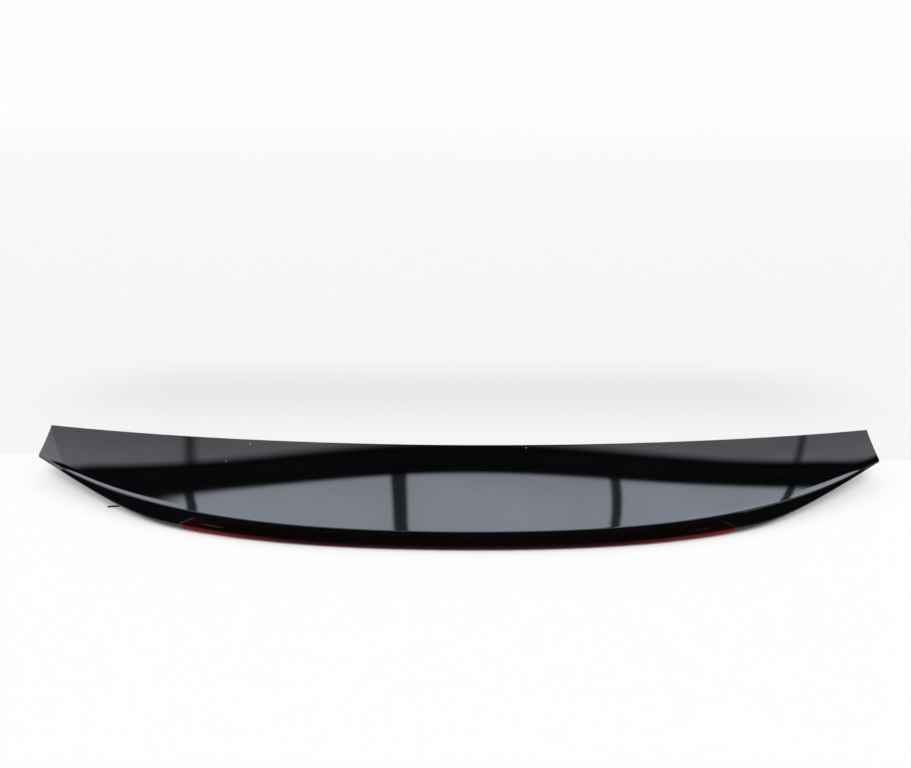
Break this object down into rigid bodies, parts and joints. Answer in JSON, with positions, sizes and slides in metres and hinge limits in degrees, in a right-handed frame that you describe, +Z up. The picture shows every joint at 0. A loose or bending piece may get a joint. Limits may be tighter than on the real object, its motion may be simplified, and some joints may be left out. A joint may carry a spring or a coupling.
{
  "type": "car rear spoiler",
  "caption": "Gloss black car rear spoiler with swept tips, a hollow-curved top, a sharp trailing crease and a long dark red high brake lamp set in its lower rear edge",
  "frame": {"origin": "middle of the bounding box on the plane the spoiler rests on, under its lower rear lip and stud tips", "axes": "+X across the car to its right, +Y forward towards the leading edge, -Y towards the brake lamp, +Z up"},
  "size_m": [1.2, 0.2328, 0.0683],
  "materials": {
    "gloss_black": "high gloss black",
    "lens_red": "gloss, dark tinted red",
    "shell_black": "fine grained",
    "lamp_black": "smooth",
    "lamp_clear": "frosted",
    "board_white": "solder mask",
    "diode_pale": "smooth",
    "foam_grey": "closed-cell foam",
    "zinc_steel": "zinc plated",
    "stud_steel": "zinc plated, threaded",
    "black_rubber": "matt",
    "lead_black": "smooth sheath",
    "clip_white": "smooth",
    "tape_grey": "foam tape"
  },
  "bodies": {
    "root": {"upper_skin": "gloss_black", "brake_lamp_lens": "lens_red", "lower_shell": "shell_black", "brake_lamp_housing": "lamp_black", "brake_lamp_diffuser": "lamp_clear", "brake_lamp_board": "board_white", "brake_lamp_diodes": "diode_pale", "brake_lamp_foam": "foam_grey", "brake_lamp_screws": "zinc_steel", "lead_grommet": "black_rubber", "brake_lamp_lead": "lead_black", "lamp_inner_lead": "lead_black", "inner_studs": "stud_steel", "outer_studs": "stud_steel", "stud_seals": "foam_grey", "shell_screws": "zinc_steel", "push_clips": "clip_white", "front_seal": "black_rubber", "tip_tapes": "tape_grey", "rubber_buffers": "black_rubber"}
  },
  "joints": []
}
